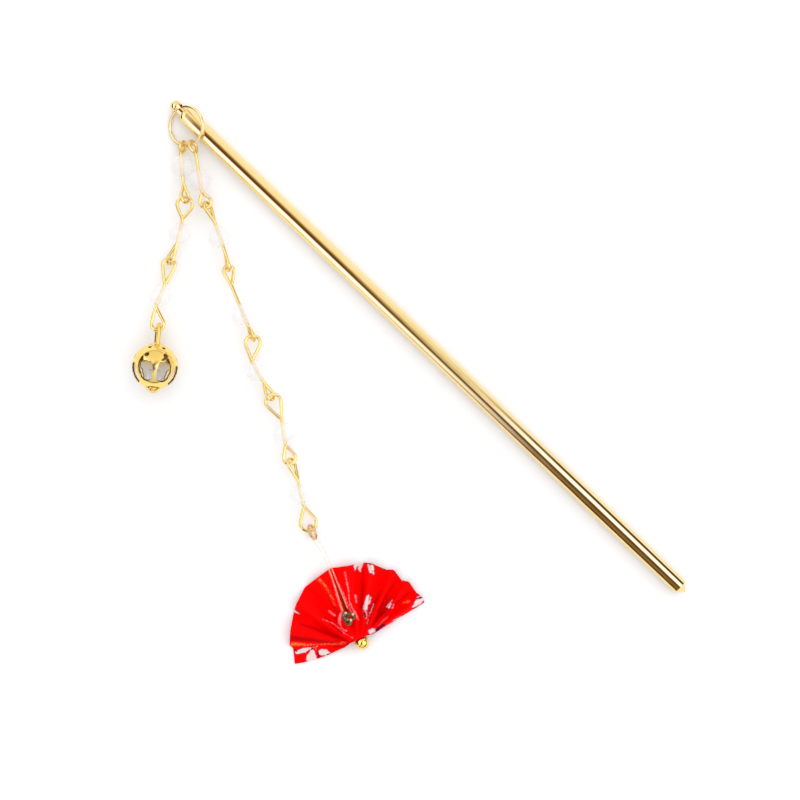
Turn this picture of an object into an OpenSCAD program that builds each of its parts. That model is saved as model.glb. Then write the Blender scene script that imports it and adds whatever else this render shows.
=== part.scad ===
// Kanzashi: a straight metal hair stick with two beaded drops, one ending in a pierced ball,
// the other in a folded paper fan. It lies on a flat surface, z = 0, as it would by itself.
// X runs from the stick's head to its tip, Z is up, and all lengths are millimetres.
// Places are written as [along, across, up]: along from the stick's head, across from a line
// beside its axis, which lies stick_across from that line.

/* [Stick] */
// Whole length of the stick
stick_len = 125; // [100:1:180]
// Diameter of the shaft
stick_d = 3; // [2.8:0.1:3.2]
// Diameter where the pointed end begins
tip_d = 2.7; // [2.2:0.1:2.8]
// Length of the last stretch, which narrows towards the point
tip_taper = 24; // [10:1:40]
// Diameter of the ball at the head
knob_d = 2.1; // [1.9:0.1:2.4]
// Diameter of the neck behind the ball
neck_d = 1.7; // [1.6:0.1:1.9]
// Length of the head end, where the shaft is a little slimmer
head_len = 12; // [10:1:16]

/* [Rings] */
// Middle radius of the large ring
ring_r = 3.48; // [3.3:0.02:3.6]
// Wire of the large ring
ring_wire = 0.56; // [0.5:0.02:0.6]
// Middle radius of the small ring
small_ring_r = 1.3; // [1.2:0.05:1.4]
// Wire of the small ring
small_ring_wire = 0.5; // [0.4:0.05:0.5]

/* [Chains] */
// Wire of the links
link_wire = 0.6; // [0.5:0.05:0.6]
// Width of a clear bead
bead_d = 4; // [3.6:0.1:4]
// Length of a clear bead along its hole
bead_len = 3.4; // [3:0.1:3.4]
// Hole through a clear bead
bead_hole = 0.9; // [0.8:0.05:1]
// Facets round a clear bead
bead_facets = 8; // [8:1:12]

/* [Pierced ball] */
// Diameter of the ball
ball_d = 8.1; // [7.6:0.1:8.1]
// Thickness of its wall
ball_wall = 0.5; // [0.4:0.05:0.7]
// Number of petal-shaped openings round it
petals = 7; // [5:1:7]

/* [Fan] */
// Thickness of the folded paper, measured straight up
paper = 0.3; // [0.25:0.01:0.35]
// Width of the foot, where the pleats are pressed together
foot_w = 5.6; // [5:0.1:6]
// Diameter of the gold bead at the foot
fan_bead_d = 2.5; // [2.2:0.1:2.6]
// Hole through the gold bead
fan_bead_hole = 0.7; // [0.5:0.1:0.9]

/* [Thread] */
// Diameter of the clear thread
thread_d = 0.28; // [0.22:0.02:0.3]

/* [Hidden] */

// The origin is under the middle of the whole piece
across_mid = -27.62;
stick_across = -0.27;
gap = 0.06;
gold = "#e8b84a";
pale_gold = "#f0cf7a";
clear = "#eef4f8";
red = "#e01010";

// Vector helpers
function unit(v) = v / norm(v);
function flat_perp(v) = unit([-v[1], v[0], 0]);
function lerp(a, b, t) = a + (b - a) * t;

// Stick sizes
stick_r = stick_d / 2;
knob_r = knob_d / 2;
neck_end = 2.7;
shoulder_end = 3.4;
head_r = stick_r - 0.08;
tip_nose = 0.2;
eye_hole = ring_wire + 0.36;

// The large ring passes through the neck and lies over the shaft.
// Its plane rises along ring_lean_az by ring_lean degrees.
eye = [1.7, stick_across, stick_r];
ring_lean_az = 50;
ring_lean = 30.6;
ring_eye_at = 109.3;
ring_e1 = [cos(ring_lean_az) * cos(ring_lean), sin(ring_lean_az) * cos(ring_lean), sin(ring_lean)];
ring_e2 = [-sin(ring_lean_az), cos(ring_lean_az), 0];
function ring_dir(a) = cos(a) * ring_e1 + sin(a) * ring_e2;
function ring_point(a, r = ring_r) = eye + r * ring_dir(a) - ring_r * ring_dir(ring_eye_at);

// Meeting points of the loops along each drop: [along, across, up]
short_hang = 251;
long_hang = 283;
inside_ring = ring_r - 0.22;
SHORT_MEETS = [
    ring_point(short_hang, inside_ring),
    [13.75, -11.1, 2.8],
    [19.1, -20.9, 1.5],
    [25.8, -30.65, 2.8],
];
LONG_MEETS = [
    ring_point(long_hang, inside_ring),
    [17.0, -9.15, 2.05],
    [27.45, -14.6, 2.05],
    [39.1, -20.5, 2.0],
    [48.6, -25.8, 2.05],
    [58.85, -31.6, 2.1],
    [69.4, -37.8, 1.9],
];

// How far each loop's middle line reaches past the meeting point
hook = 0.47;

// Links, a row each: the two necks [along, across], the loops' half widths, the loops' rolls
// about the link in degrees (0 lies flat, 90 stands up), and the bead's place on the stem, 0 to 1
SHORT_LINKS = [
    [[7.45, -5.85], [11.65, -9.4], 0.9, 1.0, 61, -54, 0.4],
    [[15.7, -13.9], [17.85, -17.65], 1.35, 1.0, 3, 55, 0.56],
    [[21.45, -24.5], [22.8, -28.2], 1.1, 1.1, 0, 0, 0.5],
];
LONG_LINKS = [
    [[9.5, -4.0], [14.9, -8.2], 1.0, 1.0, 60, -13, 0.67],
    [[20.0, -10.3], [25.1, -12.95], 1.0, 1.0, 63, 76, 0.5],
    [[30.1, -16.45], [37.1, -19.6], 1.0, 1.0, -26, 72, 0.68],
    [[41.8, -23.6], [45.9, -24.9], 1.3, 1.0, 6, -56, 0.45],
    [[52.7, -27.4], [56.2, -30.15], 1.35, 1.05, 9, -8, 0.52],
    [[62.3, -33.25], [66.0, -35.75], 1.0, 1.4, 58, 1, 0.5],
];
NECK_1 = 0;
NECK_2 = 1;
HALF_1 = 2;
HALF_2 = 3;
ROLL_1 = 4;
ROLL_2 = 5;
BEAD_AT = 6;

// Height of a neck, on the straight line between the link's two meeting points
function neck_up(from, to, neck) =
    let (a = norm([neck[0] - from[0], neck[1] - from[1]]),
         b = norm([neck[0] - to[0], neck[1] - to[1]]))
    lerp(from[2], to[2], a / (a + b));
function neck_point(from, to, neck) = [neck[0], neck[1], neck_up(from, to, neck)];
function top_neck(meets, links, i) = neck_point(meets[i], meets[i + 1], links[i][NECK_1]);
function low_neck(meets, links, i) = neck_point(meets[i], meets[i + 1], links[i][NECK_2]);
function bead_place(meets, links, i) =
    lerp(top_neck(meets, links, i), low_neck(meets, links, i), links[i][BEAD_AT]);

// One loop as a path from its neck, round past the meeting point, to the wire's cut end,
// which stops where it comes close to the stem
loop_steps = 10;
cut_gap = 0.08;
function loop_path(neck, meet, half, roll) =
    let (e = unit(meet - neck),
         side = flat_perp(e),
         w = cos(roll) * side + sin(roll) * cross(e, side),
         centre = meet + (hook - half) * e,
         reach = norm(centre - neck),
         open = acos(half / reach),
         turn = 180 - open,
         back = centre + half * (-cos(open) * e - sin(open) * w),
         cut_back = (link_wire + cut_gap) / sin(2 * open))
    concat([neck],
        [for (k = [0:loop_steps])
            let (a = turn - 2 * turn * k / loop_steps)
            centre + half * (cos(a) * e + sin(a) * w)],
        [neck + cut_back * unit(back - neck)]);
function backwards(p) = [for (i = [len(p) - 1:-1:0]) p[i]];
function link_path(meets, links, i) =
    let (row = links[i], n1 = top_neck(meets, links, i), n2 = low_neck(meets, links, i))
    concat(backwards(loop_path(n1, meets[i], row[HALF_1], row[ROLL_1])),
        loop_path(n2, meets[i + 1], row[HALF_2], row[ROLL_2]));

// A path's directions, and side vectors carried along it without twist
function directions(p) = [for (i = [0:len(p) - 1])
    unit(p[min(i + 1, len(p) - 1)] - p[max(i - 1, 0)])];
function carried(t, start, i = 0, done = []) = i == len(t) ? done :
    let (n = i == 0 ? start : done[i - 1])
    carried(t, start, i + 1, concat(done, [unit(n - (n * t[i]) * t[i])]));

module wire(path, d, sides = 6) {
    t = directions(path);
    n = carried(t, unit([0.31, 0.17, 0.93]));
    r = d / 2;
    last = len(path) - 1;
    points = [for (i = [0:last]) for (k = [0:sides - 1])
        let (a = 360 * k / sides)
        path[i] + r * (cos(a) * n[i] + sin(a) * cross(t[i], n[i]))];
    walls = [for (i = [0:last - 1]) for (k = [0:sides - 1])
        let (k2 = (k + 1) % sides)
        [i * sides + k, (i + 1) * sides + k, (i + 1) * sides + k2, i * sides + k2]];
    start_cap = [for (k = [0:sides - 1]) k];
    end_cap = [for (k = [sides - 1:-1:0]) last * sides + k];
    polyhedron(points, concat(walls, [start_cap, end_cap]), convexity = 6);
}

// Turns the Z axis to a direction
module along(dir) {
    rotate([0, acos(dir[2] / norm(dir)), atan2(dir[1], dir[0])]) children();
}

module placed() {
    translate([-stick_len / 2, -across_mid, 0]) children();
}

// The stick, drawn along Z and laid along X
module hair_stick() {
    shoulder_r = head_r - neck_d / 2;
    color(gold) placed() difference() {
        translate([0, stick_across, stick_r]) rotate([0, 90, 0]) {
            translate([0, 0, knob_r]) sphere(r = knob_r, $fn = 48);
            translate([0, 0, knob_r]) cylinder(r = neck_d / 2, h = neck_end + 0.3 - knob_r, $fn = 48);
            rotate_extrude($fn = 64) polygon(concat(
                [[0, neck_end], [neck_d / 2, neck_end]],
                [for (a = [0:15:90]) [neck_d / 2 + shoulder_r * sin(a),
                    neck_end + (shoulder_end - neck_end) * (1 - cos(a))]],
                [[stick_r, head_len], [stick_r, stick_len - tip_taper]],
                [[tip_d / 2, stick_len - tip_d / 2 + (sqrt(2) - 1) * tip_nose]],
                [for (a = [45:15:90]) [tip_nose * cos(a), stick_len - tip_nose * (1 - sin(a))]]));
        }
        translate(eye) along(cross(ring_dir(ring_eye_at), cross(ring_e1, ring_e2)))
            cylinder(d = eye_hole, h = 2 * stick_d, center = true, $fn = 32);
    }
}

// A jump ring lying in the plane of two unit vectors, with its seam beside seam_at
module jump_ring(centre, e1, e2, r, d, seam_at) {
    e3 = cross(e1, e2);
    multmatrix([[e1[0], e2[0], e3[0], centre[0]],
                [e1[1], e2[1], e3[1], centre[1]],
                [e1[2], e2[2], e3[2], centre[2]]])
        rotate(seam_at) rotate_extrude(angle = 358, $fn = 72) translate([r, 0]) circle(d = d, $fn = 24);
}

module ring_large() {
    color(pale_gold) placed()
        jump_ring(ring_point(0) - ring_r * ring_dir(0), ring_e1, ring_e2, ring_r, ring_wire, 190);
}

module link(meets, links, i) {
    color(gold) placed() wire(link_path(meets, links, i), link_wire);
}

// A clear bead: two tables, and bands of facets that turn half a step from band to band
module cut_bead() {
    n = bead_facets;
    r = bead_d / 2;
    h = bead_len / 2;
    // Each band's height, radius and turn, the turn in facets
    up = 0;
    wide = 1;
    turned = 2;
    bands = [
        [-h, 0.5 * r, 0],
        [-0.56 * h, 0.86 * r, 0.5],
        [0, r, 0],
        [0.56 * h, 0.86 * r, 0.5],
        [h, 0.5 * r, 0],
    ];
    points = [for (b = bands) for (k = [0:n - 1])
        let (a = 360 * (k + b[turned]) / n) [b[wide] * cos(a), b[wide] * sin(a), b[up]]];
    function at(b, k) = b * n + (k + n) % n;
    // A band between a ring on the whole step and one on the half step
    facets = [for (b = [0:len(bands) - 2]) for (k = [0:n - 1])
        let (whole = bands[b][turned] == 0)
        each whole
            ? [[at(b, k), at(b + 1, k), at(b, k + 1)], [at(b, k), at(b + 1, k - 1), at(b + 1, k)]]
            : [[at(b, k), at(b + 1, k + 1), at(b, k + 1)], [at(b, k), at(b + 1, k), at(b + 1, k + 1)]]];
    table_low = [for (k = [0:n - 1]) k];
    table_top = [for (k = [n - 1:-1:0]) (len(bands) - 1) * n + k];
    difference() {
        polyhedron(points, concat(facets, [table_low, table_top]), convexity = 4);
        cylinder(d = bead_hole, h = 2 * bead_len, center = true, $fn = 24);
    }
}

module clear_bead(meets, links, i) {
    color(clear, 0.5) placed() translate(bead_place(meets, links, i))
        along(low_neck(meets, links, i) - top_neck(meets, links, i)) cut_bead();
}

// The pierced ball: its axis points to the eye, a little down towards the drop
ball_r = ball_d / 2;
ball_mid = [30.24, -35.93, ball_r];
ball_dip = 11;
ball_turn = 129.5;
ball_roll = 31.4;
ball_hole = 0.35;
boss_r = 1.15;
boss_h = 0.55;
collar_r = 1.5;
collar_h = 0.2;
petal_lat = -22;
pearl_lat = 21;
pearl_d = 0.9;
drop_lat = 46;
drop_d = 0.6;
eye_wire = 0.76;
eye_half = 0.99;
eye_top = 7.95;
eye_roll = 14;
module on_ball(turn, lat) {
    rotate([0, 0, turn]) rotate([0, -lat, 0]) rotate([90, 0, 90]) children();
}
// The shell with a low boss at the far end and a collar under the eye, drilled right through
module ball_shell() {
    inner = ball_r - ball_wall;
    rotate_extrude($fn = 72) polygon(concat(
        [[ball_hole, -ball_r - boss_h], [0.6 * boss_r, -ball_r - boss_h], [boss_r, -ball_r - 0.2 * boss_h]],
        [for (a = [-70:14:70]) ball_r * [cos(a), sin(a)]],
        [[collar_r, ball_r], [collar_r - 0.2, ball_r + collar_h], [ball_hole, ball_r + collar_h]],
        [for (a = [84:-24:-84]) inner * [cos(a), sin(a)]]));
}
module ball_cuts() {
    reach = 2 * ball_r;
    for (i = [0:petals - 1]) {
        turn = 360 * (i + 0.5) / petals;
        on_ball(turn, petal_lat) linear_extrude(height = reach) union() {
            translate([0, 0.4]) circle(r = 1.4, $fn = 32);
            translate([0, -0.7]) circle(r = 1.12, $fn = 32);
        }
        on_ball(turn, pearl_lat) cylinder(d = pearl_d, h = reach, $fn = 16);
        on_ball(turn, drop_lat) cylinder(d = drop_d, h = reach, $fn = 16);
    }
}
module ball_eye() {
    top = eye_top - eye_wire / 2 - eye_half;
    root = ball_r - 0.3;
    wire(concat([[-eye_half, 0, root]],
        [for (a = [180:-20:0]) [eye_half * cos(a), 0, top + eye_half * sin(a)]],
        [[eye_half, 0, root]]), eye_wire, 10);
}
module filigree_ball() {
    color(gold) placed() translate(ball_mid) rotate([0, 0, ball_turn]) rotate([0, 90 + ball_dip, 0]) {
        rotate([0, 0, ball_roll]) difference() {
            ball_shell();
            ball_cuts();
        }
        rotate([0, 0, eye_roll]) ball_eye();
    }
}

// The small ring stands on edge, in line with the long drop
small_ring_mid = [70.2, -38.0, 1.5];
small_ring_az = -24;
small_ring_lean = 65;
small_e1 = [cos(small_ring_az), sin(small_ring_az), 0];
small_e2 = cos(small_ring_lean) * flat_perp(small_e1) + [0, 0, sin(small_ring_lean)];
small_e3 = cross(small_e1, small_e2);
module ring_small() {
    color("#c98f5a") placed()
        jump_ring(small_ring_mid, small_e1, small_e2, small_ring_r, small_ring_wire, 120);
}

// The fan, in its own frame: its foot near the pivot, its middle line along X
pivot = [89.8, -46.3, 0];
fan_az = 159.1;
foot_at = 1.2;
foot_bow = 0.8;
// Folds, a row each: degrees from the middle line, radius at the rim, height at the rim
FOLD_TURN = 0;
FOLD_LEN = 1;
FOLD_UP = 2;
FOLDS = [
    [83.2, 12.2, 0.16],
    [69.0, 11.9, 0.18],
    [66.0, 12.5, 1.0],
    [54.0, 12.5, 2.3],
    [40.3, 12.9, 0.25],
    [32.7, 13.2, 2.2],
    [19.6, 13.8, 0.2],
    [7.8, 13.8, 2.3],
    [-3.4, 14.1, 0.3],
    [-16.9, 13.8, 2.4],
    [-27.9, 14.1, 0.3],
    [-33.4, 14.2, 2.4],
    [-45.4, 13.6, 0.25],
    [-50.1, 14.2, 2.2],
    [-59.4, 13.1, 0.2],
    [-63.9, 13.8, 2.1],
    [-73.4, 13.2, 0.2],
    [-78.6, 13.6, 1.7],
    [-83.2, 13.3, 0.35],
];
// Stations from foot to rim: share of the fold's length, lift, share of the rim's height, wall
SHARE = 0;
LIFT = 1;
RISE = 2;
WALL = 3;
STATIONS = [
    [0, 0.72, 0.3, 1.2],
    [0.2, 0.32, 0.75, 0.75],
    [0.55, 0.1, 0.95, 0.38],
    [1, 0, 1, paper],
];
fold_last = len(FOLDS) - 1;
function fold_rim(i) =
    let (turn = FOLDS[i][FOLD_TURN]) FOLDS[i][FOLD_LEN] * [cos(turn), sin(turn), 0];
// The feet stand on a bow round the bead, and the first fold's free edge bends outwards
edge_bow = 0.45;
function fold_foot(i) =
    let (side = 1 - 2 * i / fold_last) [foot_at - foot_bow * pow(side, 2), foot_w / 2 * side, 0];
function fold_bow(i, s) = i == 0 ? [-4 * edge_bow * s * (1 - s), 0, 0] : [0, 0, 0];
function station(s, column) = lookup(s, [for (r = STATIONS) [r[SHARE], r[column]]]);
function fold_point(i, s) = lerp(fold_foot(i), fold_rim(i), s) + fold_bow(i, s)
    + [0, 0, station(s, LIFT) + station(s, RISE) * FOLDS[i][FOLD_UP]];
function fan_place(p) = pivot + [p[0] * cos(fan_az) - p[1] * sin(fan_az),
    p[0] * sin(fan_az) + p[1] * cos(fan_az), p[2]];
module in_fan() {
    translate(pivot) rotate([0, 0, fan_az]) children();
}
module fan() {
    rows = len(STATIONS);
    n = len(FOLDS);
    top = [for (s = STATIONS) for (i = [0:n - 1]) fold_point(i, s[SHARE]) + [0, 0, s[WALL] / 2]];
    under = [for (s = STATIONS) for (i = [0:n - 1]) fold_point(i, s[SHARE]) - [0, 0, s[WALL] / 2]];
    low = rows * n;
    function tile(a, b, c, d) = [[c, b, a], [d, c, a]];
    upper = [for (r = [0:rows - 2]) for (i = [0:n - 2])
        each tile(r * n + i, r * n + i + 1, (r + 1) * n + i + 1, (r + 1) * n + i)];
    lower = [for (f = upper) [low + f[2], low + f[1], low + f[0]]];
    rim = [for (i = [0:n - 2]) let (a = (rows - 1) * n + i) each tile(a, a + 1, low + a + 1, low + a)];
    foot = [for (i = [0:n - 2]) each tile(i + 1, i, low + i, low + i + 1)];
    first = [for (r = [0:rows - 2]) let (a = r * n, b = (r + 1) * n) each tile(a, b, low + b, low + a)];
    last = [for (r = [0:rows - 2]) let (a = r * n + n - 1, b = (r + 1) * n + n - 1)
        each tile(b, a, low + a, low + b)];
    color(red) placed() in_fan()
        polyhedron(concat(top, under), concat(upper, lower, rim, foot, first, last), convexity = 8);
}

// A round bead, drilled along the fan's middle line
module fan_bead() {
    r = fan_bead_d / 2;
    color(gold) placed() in_fan() translate([foot_at - gap - r, -0.3, r])
        rotate([0, 90, 0]) rotate_extrude($fn = 48) intersection() {
            circle(r = r, $fn = 48);
            translate([fan_bead_hole / 2, -r]) square([r, 2 * r]);
        }
}

// The thread is doubled: it runs from the knot up a valley of the fan, round the small ring
// and back. Rows: share of the valley's length, rise above the paper, half the strands' space.
thread_fold = 8;
ABOVE = 1;
APART = 2;
THREAD = [
    [0.4, 1.6, 0.5],
    [0.5, 1.1, 0.46],
    [0.65, 0.8, 0.38],
    [0.8, 0.68, 0.3],
    [1, 0.55, 0.25],
    [1.25, 0.9, 0.3],
];
bight_r = 0.46;
function strand(side) = [for (row = THREAD)
    fan_place(fold_point(thread_fold, row[SHARE])
        + [0, side * row[APART], station(row[SHARE], WALL) / 2 + row[ABOVE]])];
module thread() {
    held = small_ring_mid + small_ring_r * small_e1;
    bight = [for (a = [90:-20:-90]) held + bight_r * (sin(a) * small_e3 - cos(a) * small_e1)];
    color(clear, 0.6) placed() wire(concat(strand(1), bight, backwards(strand(-1))), thread_d);
}

// The knot is a trefoil turn of thicker thread, lying on the folds
knot_mid = [4.95, -0.1, 3.15];
knot_size = 0.36;
knot_d = 0.54;
knot_depth = 1.15;
module knot() {
    color("#8a7440") placed() in_fan() translate(knot_mid)
        wire([for (t = [10:10:350]) knot_size * [sin(t) + 2 * sin(2 * t),
            cos(t) - 2 * cos(2 * t), -knot_depth * sin(3 * t)]], knot_d);
}

hair_stick();
ring_large();
link(SHORT_MEETS, SHORT_LINKS, 0);  // short_link_1
link(SHORT_MEETS, SHORT_LINKS, 1);  // short_link_2
link(SHORT_MEETS, SHORT_LINKS, 2);  // short_link_3
clear_bead(SHORT_MEETS, SHORT_LINKS, 0);  // short_bead_1
clear_bead(SHORT_MEETS, SHORT_LINKS, 1);  // short_bead_2
clear_bead(SHORT_MEETS, SHORT_LINKS, 2);  // short_bead_3
filigree_ball();
link(LONG_MEETS, LONG_LINKS, 0);  // long_link_1
link(LONG_MEETS, LONG_LINKS, 1);  // long_link_2
link(LONG_MEETS, LONG_LINKS, 2);  // long_link_3
link(LONG_MEETS, LONG_LINKS, 3);  // long_link_4
link(LONG_MEETS, LONG_LINKS, 4);  // long_link_5
link(LONG_MEETS, LONG_LINKS, 5);  // long_link_6
clear_bead(LONG_MEETS, LONG_LINKS, 0);  // long_bead_1
clear_bead(LONG_MEETS, LONG_LINKS, 1);  // long_bead_2
clear_bead(LONG_MEETS, LONG_LINKS, 2);  // long_bead_3
clear_bead(LONG_MEETS, LONG_LINKS, 3);  // long_bead_4
clear_bead(LONG_MEETS, LONG_LINKS, 4);  // long_bead_5
clear_bead(LONG_MEETS, LONG_LINKS, 5);  // long_bead_6
ring_small();
thread();
knot();
fan();
fan_bead();
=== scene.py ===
# %% [markdown]
# # A kanzashi, dressed over its solid model
#
# A kanzashi is a hair stick. This one is a gold plated rod with a ring through its head. Two
# chains of wire links and cut glass beads hang from the ring: the short one ends in a pierced
# ball, the long one in a fan of folded paper. It lies on a table, so the chains lie down too.
#
# The solids are loaded first as a fixed frame. They give every place and size, and each piece
# that is made below stands for one of them.

# %% Load the frame
import math

import bmesh
import bpy
from mathutils import Matrix, Vector, noise


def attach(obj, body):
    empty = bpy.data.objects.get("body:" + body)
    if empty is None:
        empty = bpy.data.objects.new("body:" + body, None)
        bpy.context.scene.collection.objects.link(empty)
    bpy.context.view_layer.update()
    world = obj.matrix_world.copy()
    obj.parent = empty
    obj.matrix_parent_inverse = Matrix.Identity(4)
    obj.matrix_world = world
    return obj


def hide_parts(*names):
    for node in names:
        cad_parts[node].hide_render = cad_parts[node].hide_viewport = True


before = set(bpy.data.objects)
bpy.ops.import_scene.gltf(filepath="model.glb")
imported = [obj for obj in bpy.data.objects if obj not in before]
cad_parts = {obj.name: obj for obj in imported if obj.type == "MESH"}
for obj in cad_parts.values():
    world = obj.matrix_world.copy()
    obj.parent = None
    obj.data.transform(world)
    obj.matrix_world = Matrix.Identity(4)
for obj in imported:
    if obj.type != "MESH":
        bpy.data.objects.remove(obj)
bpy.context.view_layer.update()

# %% [markdown]
# ## Millimetres and places
#
# Small things are easier to think of in millimetres, and the scene is in metres, so one name
# turns one into the other. The chains were drawn with places counted along the stick from its
# head, and across from it. One function turns such a place into a point of the scene.

# %% A maker's units
MM = 0.001
STICK_LENGTH = 125
ACROSS_MIDDLE = -27.62


def place(along, across, up):
    """A point in metres from millimetres along the stick, across from it and up from the table."""
    return Vector((along - STICK_LENGTH / 2, across - ACROSS_MIDDLE, up)) * MM


print("the stick's head is at", place(0, -0.27, 1.5))

# %% [markdown]
# ## The camera
#
# The photograph was taken from straight above, with the stick turned so that it runs down to
# the right. A long lens half a metre away gives its flat look. Turning the camera about the
# upright axis turns the picture, which is simpler than turning every piece.

# %% Camera
VIEW_WIDTH = 141.4 * MM
VIEW_HEIGHT = 0.5
camera = bpy.data.objects.new("camera", bpy.data.cameras.new("camera"))
bpy.context.scene.collection.objects.link(camera)
bpy.context.scene.camera = camera
camera.location = place(65.33, -10.50, 0) + Vector((0, 0, VIEW_HEIGHT))
camera.rotation_euler = (0, 0, math.radians(43.66))
camera.data.sensor_width = 36
camera.data.lens = 36 * VIEW_HEIGHT / VIEW_WIDTH
camera.data.clip_start = 0.01
print("lens in mm:", round(camera.data.lens, 1))

# %% [markdown]
# ## Colours and material nodes
#
# Colours are easiest to pick as the hex values of a colour picker. A renderer works with light,
# which grows faster than those values, so one function turns them into linear values. Another
# function adds a node with its settings and links, which keeps every material short to read.

# %% Two helpers for materials
def linear(hex_colour):
    """A colour picker's value as linear red, green, blue and alpha."""
    values = [int(hex_colour[i:i + 2], 16) / 255 for i in (1, 3, 5)]
    return [v / 12.92 if v <= 0.04045 else ((v + 0.055) / 1.055) ** 2.4 for v in values] + [1]


def add(tree, kind, inputs=None, stops=(), **settings):
    """A new node. An input is a number, a colour, an output or a node, which stands for its first
    output; stops are a ramp's places with hex colours or grey values."""
    node = tree.nodes.new(kind)
    for name, value in settings.items():
        setattr(node, name, value)
    for socket, value in (inputs or {}).items():
        if isinstance(value, bpy.types.Node):
            value = value.outputs[0]
        if isinstance(value, bpy.types.NodeSocket):
            tree.links.new(value, node.inputs[socket])
        else:
            node.inputs[socket].default_value = value
    if stops:
        elements = node.color_ramp.elements
        while len(elements) < len(stops):
            elements.new(0.5)
        for element, (where, colour) in zip(elements, stops):
            element.position = where
            element.color = linear(colour) if isinstance(colour, str) else [colour] * 3 + [1]
    return node


def new_material(name, **finish):
    """A material and its tree, with these settings on the shader's own sockets."""
    material = bpy.data.materials.new(name)
    material.use_nodes = True
    shader = material.node_tree.nodes["Principled BSDF"]
    for socket, value in finish.items():
        shader.inputs[socket.replace("_", " ")].default_value = value
    return material, material.node_tree, shader


# %% [markdown]
# ## The studio
#
# Polished metal shows what stands around it, so the light is built as a photographer builds it:
# a white tent, with softboxes and the dark gaps between them running along the stick. The gaps
# draw the dark lines on the gold. A world shader does this with no lamps: the direction of a
# ray, tilted across the stick, picks its brightness from a ramp. Matt things only need an even
# light from all round, and the table's own colour fills what the camera sees beyond the table.

# %% The tent and its softboxes
scene = bpy.context.scene
scene.view_settings.view_transform = "Standard"
world = bpy.data.worlds.new("studio tent")
scene.world = world
world.use_nodes = True
tent = world.node_tree
tent.nodes.clear()
ray = add(tent, "ShaderNodeSeparateXYZ", {0: add(tent, "ShaderNodeTexCoord").outputs["Generated"]})
tilt = add(tent, "ShaderNodeMath", {0: ray.outputs[1], 1: ray.outputs[2]}, operation="ARCTAN2")
# The tilt runs from -90 degrees on the drops' side, through 0 overhead, to 90 on the far side
share = add(tent, "ShaderNodeMapRange", {0: tilt, 1: -math.pi / 2, 2: math.pi / 2})


def tilted(degrees):
    """Where on the ramps a tilt lies."""
    return (degrees + 90) / 180


# A ramp stops at 1, so a white of 1 here is three times as bright as the white card. The
# softboxes are cool, which turns their shine on the gold from lemon to cream, and the gaps are
# warm, because gold pieces face gold pieces there.
SOFTBOX = "#c6c0ea"
HALF_BOX = "#a2a9c4"
head_side = add(tent, "ShaderNodeValToRGB", {0: share}, stops=[
    (tilted(-88), 0.3), (tilted(-76), 0.4), (tilted(-68), SOFTBOX), (tilted(-37), SOFTBOX),
    (tilted(-23), "#3c270d"), (tilted(2), "#35210a"), (tilted(11), "#5a452a"), (tilted(25), "#857862"),
    (tilted(40), 0.35), (tilted(88), 0.36)])
middle = add(tent, "ShaderNodeValToRGB", {0: share}, stops=[
    (tilted(-88), 0.16), (tilted(-74), 0.2), (tilted(-62), HALF_BOX), (tilted(-40), HALF_BOX),
    (tilted(-29), "#7c8085"), (tilted(-18), "#41300f"), (tilted(-8), "#41300f"), (tilted(0), "#6a5f45"),
    (tilted(11), "#848479"), (tilted(25), "#807b6c"), (tilted(40), "#8b8674"), (tilted(53), 0.32),
    (tilted(88), 0.31)])
tip_side = add(tent, "ShaderNodeValToRGB", {0: share}, stops=[
    (tilted(-88), "#3a2a10"), (tilted(-78), "#33240c"), (tilted(-68), "#33240c"), (tilted(-56), "#4c3b26"),
    (tilted(-43), "#57452f"), (tilted(-30), "#42321e"), (tilted(-16), "#33291c"), (tilted(-2), "#3a3228"),
    (tilted(9), SOFTBOX), (tilted(42), SOFTBOX), (tilted(53), "#33312a"), (tilted(66), "#2a2418"),
    (tilted(80), "#2a2418"), (tilted(88), 0.2)])
to_middle = add(tent, "ShaderNodeMapRange", {0: ray, 1: -0.05, 2: 0.01})
to_tip = add(tent, "ShaderNodeMapRange", {0: ray, 1: 0.018, 2: 0.05})
from_head = add(tent, "ShaderNodeMix", {0: to_middle, 6: head_side, 7: middle}, data_type="RGBA")
shine = add(tent, "ShaderNodeMix", {0: to_tip, 6: from_head.outputs[2], 7: tip_side}, data_type="RGBA")
# Off to both sides the dark gap ends. Low down, between the tent's skirt and the table, runs a
# dark slit, which draws the thin dark line along the wires. It is widest towards the drops' side.
left_wall = add(tent, "ShaderNodeValToRGB", {0: share}, stops=[
    (tilted(-88), 0.3), (tilted(-58), 0.32), (tilted(-46), 0.62), (tilted(-8), 0.62),
    (tilted(8), 0.34), (tilted(88), 0.3)])
right_wall = add(tent, "ShaderNodeValToRGB", {0: share}, stops=[
    (tilted(-88), 0.24), (tilted(-30), 0.3), (tilted(-8), 0.34), (tilted(12), 0.62),
    (tilted(46), 0.62), (tilted(62), 0.34), (tilted(88), 0.34)])
azimuth = add(tent, "ShaderNodeMath", {0: ray.outputs[1], 1: ray}, operation="ARCTAN2")
whole_turn = add(tent, "ShaderNodeMapRange", {0: azimuth, 1: -math.pi, 2: math.pi})
slit_width = add(tent, "ShaderNodeValToRGB", {0: whole_turn}, stops=[
    (0.0, 0.3), (0.04, 0.9), (0.22, 0.9), (0.29, 0.1), (0.43, 0.1), (0.47, 0.7), (0.55, 0.7), (0.62, 0.0),
    (0.66, 0.6), (0.72, 0.6), (0.76, 0.0), (0.93, 0.0)])
slit_top = add(tent, "ShaderNodeMath", {0: slit_width, 1: 0.52}, operation="MULTIPLY")
slit_edge = add(tent, "ShaderNodeMath", {0: slit_top, 1: 0.08}, operation="ADD")
slit = add(tent, "ShaderNodeMapRange", {0: ray.outputs[2], 1: slit_edge, 2: slit_top})
off_side = add(tent, "ShaderNodeMath", {0: ray}, operation="ABSOLUTE")
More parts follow.
